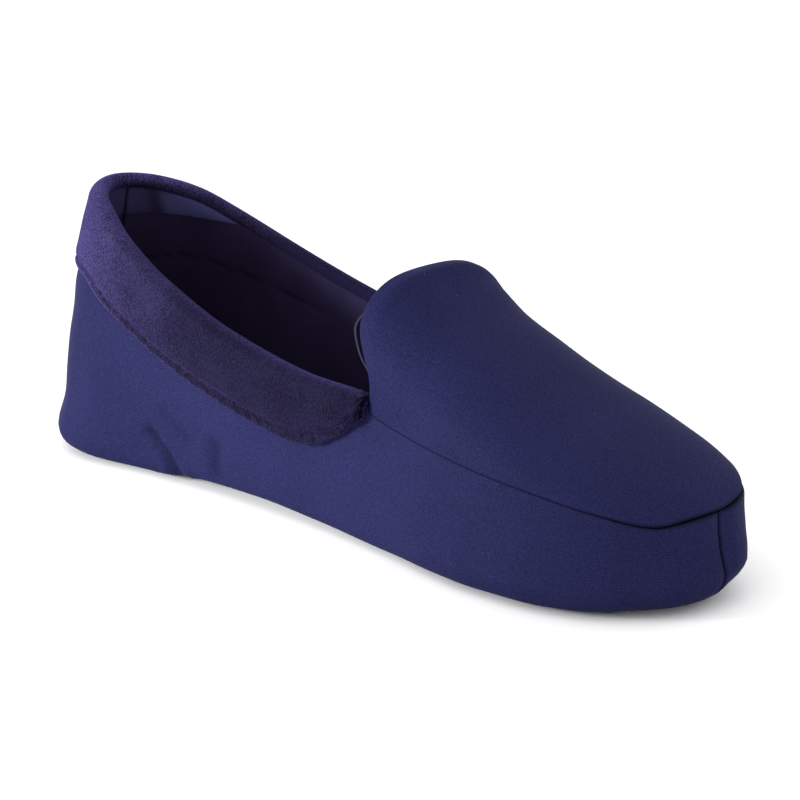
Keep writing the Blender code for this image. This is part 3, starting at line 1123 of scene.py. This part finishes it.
    def build(self) -> None:
        """Makes the side wall and the apron, which stand for the upper."""
        mesh = bmesh.new()
        lay_grid(mesh, self.last, self.wall().closed())
        wall = make_piece("side_wall", mesh, self.knit.make())
        mesh = bmesh.new()
        lay_grid(mesh, self.last, self.apron(), flip=True)
        apron = make_piece("apron", mesh, self.apron_knit.make())
        for piece in (wall, apron):
            thicken(piece, self.cloth)
            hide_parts("upper")


@dataclass
class Inside:
    """Inside of the upper: its lining with the heel's satin band, and the padded footbed."""

    last: Last
    lining: ClothFinish = LINING_TRICOT
    terry: ClothFinish = FOOTBED_TERRY
    cloth: float = 0.3 * MM
    band_stand: float = 0.5 * MM
    band_edge: float = 0.5 * MM
    band_step: float = 0.9 * MM
    band_end: float = 0.19
    band_fade: float = 0.02
    # Painted shade that darkens the satin towards the heel's back and along a fold there
    satin_shade: float = 0.65
    satin_shade_until: Span = (0.075, 0.092)
    fold: float = 0.30
    fold_at: float = 0.074
    fold_width: float = 0.008
    knit: float = 0.21
    knit_show: float = 38 * MM
    knit_from: Span = (0.18, 0.36)
    seam_until: Span = (0.24, 0.36)
    seam_tone: float = 0.6
    seam_depth: float = 0.35 * MM
    seam_width: float = 0.6 * MM
    seam_shift: float = 4 * MM
    apron_start: float = 2 * MM
    apron_end: float = 0.972
    apron_rows: int = 70
    across: int = 60
    footbed_ease: float = 1.1 * MM
    footbed_thick: float = 4.0 * MM
    footbed_roll: float = 2.2 * MM
    footbed_crown: float = 0.5 * MM

    def wall_lining(self) -> Sheet:
        """Lining of the side wall, with the satin band, its long seam and the seam at the centre back."""
        last = self.last
        grid = last.wall_grid()[1:]
        normals = grid_normals(grid, closed=True)
        along = grid[..., 0] / last.length
        height = grid[..., 2]
        over_band = height - INSIDE_LINE.read("band", along)
        band = fade(over_band, -self.band_step, self.band_step)
        band = band * (1 - fade(along, self.band_end - self.band_fade, self.band_end + self.band_fade))
        # Painted shade on the satin at the heel's back and at a fold
        satin_shade = self.satin_shade * (1 - fade(along, *self.satin_shade_until))
        satin_shade = satin_shade + self.fold * bump(along - self.fold_at, self.fold_width)
        up = walked(grid, 0)
        knit = self.knit * fade(up - up[-1], -self.knit_show, 0.0) * fade(along, *self.knit_from)
        shown = np.where(along > self.band_end, knit, 0.5 + over_band / self.band_edge)
        run = walked(grid[-1:], 1)[0]
        from_back = np.abs(run[-1] - self.seam_shift - run)
        seam = bump(height - INSIDE_LINE.read("seam", along), self.seam_width)
        seam = seam * self.seam_tone * (1 - fade(along, *self.seam_until))
        sewn = np.maximum(seam, bump(from_back, self.seam_width))
        depth = last.wall + self.band_stand * band - self.seam_depth * sewn
        points = grid - normals * depth[..., None]
        cloth = np.stack((np.zeros_like(height), up), axis=-1)
        return Sheet(points, cloth, {SEAMS_AND_SHADE: sewn, SATIN: shown, PAINTED_LIGHT_AND_SHADE: satin_shade})

    def apron_lining(self) -> Sheet:
        """Lining under the apron."""
        last = self.last
        along = np.linspace(last.corner + self.apron_start / last.length, self.apron_end, self.apron_rows)
        base = last.apron_arcs(along, self.across)
        points = base + grid_normals(base, closed=False) * last.wall
        blank = np.zeros(points.shape[:2])
        return Sheet(points, cloth_places(points), {SEAMS_AND_SHADE: blank, SATIN: blank, PAINTED_LIGHT_AND_SHADE: blank})

    def build(self) -> None:
        """Makes the lining and the footbed, which stands for its node."""
        mesh = bmesh.new()
        lay_grid(mesh, self.last, self.wall_lining().closed(), flip=True)
        lay_grid(mesh, self.last, self.apron_lining())
        lining = make_piece("lining", mesh, self.lining.make())
        thicken(lining, self.cloth)
        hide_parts("upper")
        mesh = bmesh.new()
        height = self.last.floor_clear + self.last.wall + self.last.gap
        lay_plate(
            mesh,
            self.last,
            self.footbed_ease,
            height,
            self.footbed_thick,
            self.footbed_roll,
            self.footbed_crown,
        )
        footbed = make_piece("footbed_pad", mesh, self.terry.make())
        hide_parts("footbed")


def lay_plate(
    mesh: bmesh.types.BMesh,
    last: Last,
    flange: float,
    height: float,
    thickness: float,
    roll: float,
    crown: float,
    crown_reach: float = 18 * MM,
    rows: int = 56,
) -> None:
    """Adds a closed plate inside the wall's rounded edge, with a rolled rim and a crowned top.

    Args:
        mesh: The mesh that takes the plate.
        last: The form that gives its outline.
        flange: Distance of its rim from the start of the wall's rounding.
        height: Height of its underside over the slipper's underside.
        thickness: Its thickness.
        roll: Radius of its rim.
        crown: How far its middle stands over its sides.
        crown_reach: Distance from the rim where it stands that far.
        rows: Steps across.
    """
    line = last.edge(0.0, flange, height)
    toe = last.toe()
    inner = line[:toe + 1]
    outer = np.concatenate((line[:1], line[:toe - 1:-1]))
    shares = (1 - np.cos(np.linspace(0.0, math.pi, rows + 1))) / 2
    flat = np.array([inner + (outer - inner) * share for share in shares])
    distance = nearest(flat, resampled(np.concatenate((line, line[:1]))))[1]
    for rim in RIMS:
        distance[rim] = 0.0
    swell = thickness - sink(distance, np.full_like(distance, roll)) * thickness / roll
    top = flat + UP * (swell + crown * fade(distance, 0.0, crown_reach))[..., None]
    blank = np.zeros(flat.shape[:2])
    cloth = np.stack((flat[..., 0], flat[..., 1]), axis=-1)
    marks = {SEAMS_AND_SHADE: blank, SATIN: blank}
    lay_grid(mesh, last, Sheet(top, cloth, marks))
    lay_grid(mesh, last, Sheet(flat, cloth, marks), flip=True)


@dataclass
class CuffPlaces:
    """Where each point of the cuff's cloth is, by row over the rim and by column along it.

    The path is the cuff's back, and out the way in which the plush stands on it; half is the share of the
    half turn over the rim from inside to outside, by row, and along the share of the slipper's length.
    Distances are run, round the collar, to_edge and to_hem, to the nearest edge and hemmed edge, ends, to
    the nearer front corner, and hem, the width of the hem there.
    """

    path: np.ndarray
    out: np.ndarray
    rim: np.ndarray
    half: np.ndarray
    along: np.ndarray
    run: np.ndarray
    to_edge: np.ndarray
    to_hem: np.ndarray
    ends: np.ndarray
    hem: np.ndarray


@dataclass
class Cuff:
    """Plush cuff turned down over the collar's rim, with a stitched hem along its lower edge and fronts.

    A field whose name ends in turn is in shares of the half turn over the rim, from inside to outside.
    Light and shade are painted into the plush's colour: light on the heel's pile and on the hem's lip, shade
    in the stitched groove, inside the rim and on the outer rim's edge, and shadow in the hollows at the
    front corners.
    """

    last: Last
    plush: PlushFinish = PlushFinish()
    thickness: float = 2.2 * MM
    edge_roll: float = 0.6 * MM
    edge_soft: float = 1.2 * MM
    plump: float = 0.35 * MM
    plump_from: Span = (1 * MM, 8 * MM)
    heel_until: Span = (0.05, 0.16)
    heel_bulge: float = 0.4 * MM
    heel_bulge_at: float = 3 * MM
    groove_depth: float = 0.85 * MM
    groove_width: float = 0.75 * MM
    groove_loss: float = 0.75
    groove_shade: float = 0.90
    # How much of the painted light is kept out of the stitched groove, which stays shaded
    groove_unlit: float = 0.8
    hem_shade: float = 0.65
    hem_step: float = 0.6 * MM
    hem_pitch: float = 5.2 * MM
    hem_shift: float = 2 * MM
    stitch_pitch: float = 6.5 * MM
    stitch_wander: float = 0.32 * MM
    edge_wander: float = 0.40 * MM
    wander_from: Span = (0.20, 0.35)
    wander_least: float = 0.2
    pucker_pitch: float = 2.7 * MM
    pucker_depth: float = 0.35 * MM
    pucker_least: float = 0.3
    pucker_sway: float = 2.0
    pucker_sway_run: float = 5 * MM
    front_from: Span = (0.26, 0.42)
    front_lift: float = 0.7 * MM
    front_reach: float = 6 * MM
    # Painted shadow in the hollows under the front corners
    cavity_shadow: float = 1.5
    cavity_reach: float = 7 * MM
    cavity_width: float = 1.3 * MM
    # Painted light on the hem's lower lip
    lit_lip: float = 2.4
    lip_at: float = 0.3 * MM
    lip_width: float = 0.45 * MM
    lap_from: Span = (0.19, 0.27)
    lap_turn: Span = (0.41, 0.59)
    lap_short: float = 0.10
    # From here: the outer side's reach, painted shade on the outer rim's edge, painted light on the pile
    # part way over the rim, and painted shade inside the rim
    outer_from: Span = (5 * MM, 15 * MM)
    outer_rim_shade: float = 0.9
    outer_rim_shade_turn: Span = (0.55, 0.16)
    lit_turn: float = 0.05
    lit_rise: float = 0.30
    lit_later: float = 0.18
    lit_later_to: float = 22 * MM
    inner_shade: float = 0.6
    inner_turn: Span = (0.05, 0.25)
    inside_shares: tuple[float, ...] = (0.0, 0.03, 0.08, 0.15, 0.24, 0.36, 0.52, 0.74, 1.0)
    over_steps: int = 22
    down_steps: int = 54

    def section(
        self, column: np.ndarray, normals: np.ndarray, slack: float
    ) -> tuple[np.ndarray, np.ndarray]:
        """Path of the cuff's back over one column of the wall: inside the rim, over it and down outside.

        Args:
            column: Points of the wall's outer face, from its foot to the rim.
            normals: Outward normals there.
            slack: How much further down the lower edge hangs here.

        Returns:
            Points of the path, and the directions in which the plush stands on them.
        """
        last = self.last
        depth = walked(column[::-1][None], 1)[0][::-1]
        along = column[:, 0] / last.length
        over_edge = column[:, 2] - last.heel_height * CUFF_LINE.read("height", along)
        hem = np.interp(0.0, over_edge, depth) + slack
        reach = CUFF_LINE.read("inside", along[-1:])[0]
        inside = reach * (1 - np.array(self.inside_shares))
        down = np.linspace(0.0, hem - NEAR_EDGE[0], self.down_steps + 1)
        outside = np.concatenate((down, hem - np.array(NEAR_EDGE[1:])))
        face_in, face_out, out_in, out_out = (
            read_line(at, depth[::-1], values[::-1])
            for values, at in ((column, inside), (column, outside), (normals, inside), (normals, outside))
        )
        up = unit(column[-1] - column[-2])
        turns = np.linspace(0.0, math.pi, self.over_steps + 1)[1:-1, None]
        roll = up * np.sin(turns) - normals[-1] * np.cos(turns)
        over = column[-1] - normals[-1] * last.wall / 2 + roll * (last.wall / 2 + last.gap)
        face_in = face_in - out_in * (last.wall + last.gap)
        path = np.concatenate((face_in, over, face_out + out_out * last.gap))
        return path, np.concatenate((-out_in, roll, out_out))

    def places(self) -> CuffPlaces:
        """Lays the cuff's back over the rim and measures where each of its points is."""
        last = self.last
        wall = last.wall_grid()
        normals = grid_normals(wall, closed=True)
        foot = last.round_rows + 1
        columns = np.arange(-last.collar_steps, last.collar_steps + 1)
        rim = wall[-1, columns]
        loose = fade(rim[:, 0] / last.length, *self.wander_from)
        slack = self.edge_wander * uneven(walked(rim[None], 1)[0], self.stitch_pitch)
        slack = slack * (self.wander_least + (1 - self.wander_least) * loose)
        sections = [self.section(wall[foot:, i], normals[foot:, i], s) for i, s in zip(columns, slack)]
        path, out = (np.array(part).transpose(1, 0, 2) for part in zip(*sections))
        lower = np.concatenate([resampled(edge) for edge in (path[-1], path[:, 0], path[:, -1])])
        to_edge = nearest(path, np.concatenate((resampled(path[0]), lower)))[1]
        for rim_of_cloth in RIMS:
            to_edge[rim_of_cloth] = 0.0
        index, to_hem = nearest(path, lower)
        run = walked(path, 1)
        hem = CUFF_LINE.read("hem", lower[:, 0] / last.length)[index]
        hem = hem + self.stitch_wander * uneven(run + self.hem_shift, self.hem_pitch)
        ends = np.minimum(*(np.linalg.norm(path - path[-1, end], axis=-1) for end in (0, -1)))
        half = np.ones(len(path))
        first = len(self.inside_shares)
        half[:first] = 0.0
        half[first:first + self.over_steps - 1] = np.linspace(0.0, 1.0, self.over_steps + 1)[1:-1]
        along = path[..., 0] / last.length
        return CuffPlaces(path, out, rim, half[:, None], along, run, to_edge, to_hem, ends, hem)

    def thickness_over(self, at: CuffPlaces) -> np.ndarray:
        """Thickness of the plush over the rim: thin inside, full outside.

        Args:
            at: The cuff's places.

        Returns:
            The thickness at each point.
        """
        inner, top = (CUFF_LINE.read(name, at.rim[:, 0] / self.last.length) for name in ("inner", "top"))
        rising = (top - inner) * fade(at.half, 0.0, 0.5)
        return inner + rising + (self.thickness - top) * fade(at.half, 0.5, 1.0)

    def stand(
        self, at: CuffPlaces, front: np.ndarray, groove: np.ndarray, within: np.ndarray
    ) -> np.ndarray:
        """How high the plush stands on the cuff's back.

        Args:
            at: The cuff's places.
            front: How far forward a point is, from the heel's neat hem to the frayed one.
            groove: How near a point is to the middle of the stitched groove.
            within: How far a point is inside the hem.

        Returns:
            The height at each point.
        """
        share = np.clip(at.to_edge / self.edge_roll, 0.0, 1.0)
        stand = self.thickness_over(at) * np.sqrt(1 - (1 - share) ** 2)
        behind = 1 - fade(at.along, *self.heel_until)
        sway = self.pucker_sway * np.sin(at.run / self.pucker_sway_run)
        wave = np.sin(2 * math.pi * at.run / self.pucker_pitch + sway)
        puckered = self.pucker_least + (1 - self.pucker_least) * front
        swell = self.plump * fade(at.to_edge, *self.plump_from)
        swell = swell + self.heel_bulge * behind * bump(at.to_hem - self.heel_bulge_at, self.heel_bulge_at)
        swell = swell + self.pucker_depth * wave * within * puckered
        return stand + fade(at.to_edge, 0.0, self.edge_soft) * (swell - self.groove_depth * groove)

    def painted_lighting(self, at: CuffPlaces) -> tuple[np.ndarray, np.ndarray, np.ndarray]:
        """How the cloth is laid, and the light and shade painted on it.

        Args:
            at: The cuff's places.

        Returns:
            Where the smooth back laps over, the painted light on the pile, and the painted shade on the
            outer rim's edge together with the painted shadow in the hollows at the front corners.
        """
        outer = fade(at.rim[:, 1], *self.outer_from)
        lapped = fade(at.rim[:, 0] / self.last.length, *self.lap_from)
        lap = lapped * (1 - fade(at.half + self.lap_short * outer, *self.lap_turn))
        later = self.lit_turn + self.lit_later * fade(at.rim[:, 1], 0.0, self.lit_later_to)
        nap = CUFF_LINE.read("nap", at.along) * fade(at.half - later, 0.0, self.lit_rise)
        nap = nap - self.inner_shade * (1 - fade(at.half, *self.inner_turn))
        turn, width = self.outer_rim_shade_turn
        dark = self.outer_rim_shade * lapped * outer * bump(at.half - turn, width)
        hollow_shadow = bump(at.ends, self.cavity_reach) * bump(at.to_edge, self.cavity_width)
        return lap, nap, dark + self.cavity_shadow * hollow_shadow

    def sheets(self) -> tuple[Sheet, Sheet]:
        """The cuff's plush face and its back, which meet along all edges."""
        at = self.places()
        front = fade(at.along, *self.front_from)
        groove = bump(at.to_hem - at.hem, self.groove_width) * (1 - self.groove_loss * front)
        within = fade(at.hem - at.to_hem, 0.0, self.hem_step)
        stand = self.stand(at, front, groove, within)
        back = at.path + at.out * (self.front_lift * bump(at.ends, self.front_reach))[..., None]
        face = back + at.out * np.maximum(stand, 0.0)[..., None]
        # Painted light and shade for the nap mark: light on the hem's lip, little light in the groove, shade
        # and shadow subtracted
        lap, nap, dark = self.painted_lighting(at)
        lit_lip = self.lit_lip * (1 - front) * bump(at.to_hem - self.lip_at, self.lip_width)
        nap = nap * (1 - self.groove_unlit * groove) + lit_lip - dark
        shade = np.clip(self.groove_shade * groove + self.hem_shade * front * within, 0.0, 1.0)
        marks = {SEAMS_AND_SHADE: shade, SATIN: lap, PAINTED_LIGHT_AND_SHADE: np.maximum(nap, -1.0)}
        cloth = cloth_places(at.path)
        return Sheet(face, cloth, marks), Sheet(back, cloth, marks)

    def build(self) -> None:
        """Makes the cuff, which stands for its node."""
        face, back = self.sheets()
        mesh = bmesh.new()
        lay_grid(mesh, self.last, face, flip=True)
        lay_grid(mesh, self.last, back)
        cuff = make_piece("plush_cuff", mesh, self.plush.make())
        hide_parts("cuff")


@dataclass
class Facing:
    """Thin satin facing inside the apron's throat, whose folded edge shows behind the apron's own."""

    last: Last
    satin: ClothFinish = FACING_SATIN
    inset: float = 1.9 * MM
    show: float = 3.5 * MM
    show_from: Span = (48 * MM, 58 * MM)
    show_until: Span = (64 * MM, 73 * MM)
    roll: float = 0.30 * MM
    # Width of the lip that carries a painted gleam
    lit_lip: float = 0.45 * MM
    reach: float = 6 * MM
    rows: int = 14
    fine_rows: int = 30
    turns: int = 10
    across: int = 90
    end_columns: int = 12

    def build(self) -> None:
        """Makes the facing, which stands for its node."""
        last = self.last
        start = last.corner + (self.roll - self.show) / last.length
        run = np.linspace(0.0, self.reach + self.show, self.fine_rows)
        along = start + run / last.length
        arcs = last.apron_arcs(np.maximum(along, last.corner), self.across)
        arcs = arcs[:, self.end_columns:-self.end_columns]
        arcs[..., 0] += last.length * np.minimum(along - last.corner, 0.0)[:, None]
        shown = fade(arcs[0, :, 2], *self.show_from) * (1 - fade(arcs[0, :, 2], *self.show_until))
        steps = np.linspace(0.0, self.reach, self.rows)
        base = np.stack([
            read_line(steps + hidden, run, arc)
            for arc, hidden in zip(arcs.transpose(1, 0, 2), self.show * (1 - shown))
        ], axis=1)
        normals = -grid_normals(base, closed=False)
        points = folded(base - normals * self.inset, normals, self.roll, self.turns, self.rows - 1)
        from_edge = np.concatenate((steps[:0:-1], np.zeros(self.turns), steps))
        # Painted shade in the recess behind the lip; the paler satin colour on the lip is a painted gleam
        recess_shade = np.repeat(fade(from_edge, self.lit_lip, 2 * self.lit_lip)[:, None], points.shape[1], axis=1)
        mesh = bmesh.new()
        sheet = Sheet(points, cloth_places(points), {SEAMS_AND_SHADE: recess_shade, SATIN: 1 - recess_shade})
        lay_grid(mesh, last, sheet, flip=True)
        facing = make_piece("satin_facing", mesh, self.satin.make())
        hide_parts("throat_facing")


@dataclass
class Sole:
    """Suede sole panel with a ring of stitches along its edge."""

    last: Last
    suede: ClothFinish = SOLE_SUEDE
    thread: ClothFinish = SOLE_THREAD
    thickness: float = 2.6 * MM
    roll: float = 0.9 * MM
    stitch_inset: float = 3.0 * MM
    stitch_pitch: float = 4.0 * MM
    stitch_length: float = 3.0 * MM
    thread_radius: float = 0.26 * MM
    thread_sides: int = 8
    thread_rings: int = 6
    stitch_height: float = 0.15 * MM

    def build(self) -> None:
        """Makes the panel, which stands for the sole, and its stitches."""
        last = self.last
        mesh = bmesh.new()
        lay_plate(mesh, last, last.flange + last.gap, 0.0, self.thickness, self.roll, 0.0)
        panel = make_piece("sole_panel", mesh, self.suede.make())
        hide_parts("sole")
        line = last.edge(0.0, last.flange + last.gap + self.stitch_inset, self.stitch_height)
        line = last.place(np.concatenate((line, line[:1])))
        run = walked(line[None], 1)[0]
        count = round(run[-1] / self.stitch_pitch)
        mesh = bmesh.new()
        for middle in (np.arange(count) + 0.5) * run[-1] / count:
            ends = np.array((-0.5, 0.5)) * self.stitch_length + middle
            tail, head = (Vector(read_line(end, run, line)) for end in ends)
            turn = (head - tail).to_track_quat("X", "Z").to_matrix().to_4x4()
            size = Matrix.Diagonal((self.stitch_length / 2, self.thread_radius, self.thread_radius, 1.0))
            place = Matrix.Translation((tail + head) / 2) @ turn @ size
            bmesh.ops.create_uvsphere(
                mesh,
                u_segments=self.thread_sides,
                v_segments=self.thread_rings,
                radius=1.0,
                matrix=place,
                calc_uvs=True,
            )
        mesh.verts.layers.float.new(SEAMS_AND_SHADE)
        stitches = make_piece("sole_stitching", mesh, self.thread.make())
        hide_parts("sole")


@dataclass
class Studio:
    """Pale floor, white surroundings, a soft key light and the camera."""

    floor_size: float = 12.0
    floor_drop: float = 0.3 * MM
    floor_colour: str = "#fafafa"
    floor_roughness: float = 0.9
    floor_gloss: float = 0.1
    sky: float = 1.3
    key_power: float = 0.22
    key_place: tuple[float, float, float] = (-0.30, -0.45, 0.17)
    key_aim: tuple[float, float, float] = (-0.04, -0.03, 0.03)
    key_size: float = 0.18
    key_spread: float = math.radians(26.0)
    target: tuple[float, float, float] = (0.0176, -0.0128, 0.0400)
    azimuth: float = math.radians(42.0)
    elevation: float = 0.296856
    distance: float = 0.950
    lens: float = 147.62
    near_clip: float = 0.01

    def build_floor(self) -> None:
        """Makes the floor: matt white card."""
        mesh = bmesh.new()
        bmesh.ops.create_grid(mesh, x_segments=1, y_segments=1, size=self.floor_size / 2)
        bmesh.ops.translate(mesh, verts=mesh.verts, vec=(0.0, 0.0, -self.floor_drop))
        data = bpy.data.meshes.new("floor")
        mesh.to_mesh(data)
        mesh.free()
        values = {
            "Base Color": linear(self.floor_colour),
            "Roughness": self.floor_roughness,
            "Specular IOR Level": self.floor_gloss,
        }
        data.materials.append(start_material("white_card_matt", values))
        floor = bpy.data.objects.new("floor", data)
        bpy.context.scene.collection.objects.link(floor)

    def add_key(self) -> None:
        """Adds the key light, a square softbox with a grid, beside the heel: it fades towards the toe."""
        data = bpy.data.lights.new("key", "AREA")
        data.size = self.key_size
        data.energy = self.key_power
        data.spread = self.key_spread
        light = bpy.data.objects.new("key", data)
        light.location = self.key_place
        aim = Vector(self.key_aim) - Vector(self.key_place)
        light.rotation_euler = aim.to_track_quat("-Z", "Y").to_euler()
        bpy.context.scene.collection.objects.link(light)

    def build(self) -> None:
        """Makes the floor, the key light, the surroundings and the camera."""
        self.build_floor()
        self.add_key()
        scene = bpy.context.scene
        scene.world = bpy.data.worlds.new("white_room")
        scene.world.use_nodes = True
        room = scene.world.node_tree.nodes["Background"]
        room.inputs["Color"].default_value = (1.0, 1.0, 1.0, 1.0)
        room.inputs["Strength"].default_value = self.sky
        data = bpy.data.cameras.new("camera")
        data.lens = self.lens
        data.clip_start = self.near_clip
        camera = bpy.data.objects.new("camera", data)
        level = math.cos(self.elevation)
        away = (math.sin(self.azimuth) * level, -math.cos(self.azimuth) * level, math.sin(self.elevation))
        camera.location = Vector(self.target) + self.distance * Vector(away)
        camera.rotation_euler = Euler((math.pi / 2 - self.elevation, 0.0, self.azimuth))
        scene.collection.objects.link(camera)
        scene.camera = camera
        scene.view_settings.view_transform = "Standard"


def main() -> None:
    """Builds the slipper's pieces and the studio, and logs the imported nodes' names."""
    logging.basicConfig(level=logging.INFO, format="%(name)s: %(message)s")
    LOG.info("nodes: %s", ", ".join(sorted(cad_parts)))
    last = Last()
    for part in (Upper(last), Inside(last), Cuff(last), Facing(last), Sole(last), Studio()):
        part.build()


if __name__ == "__main__":
    main()
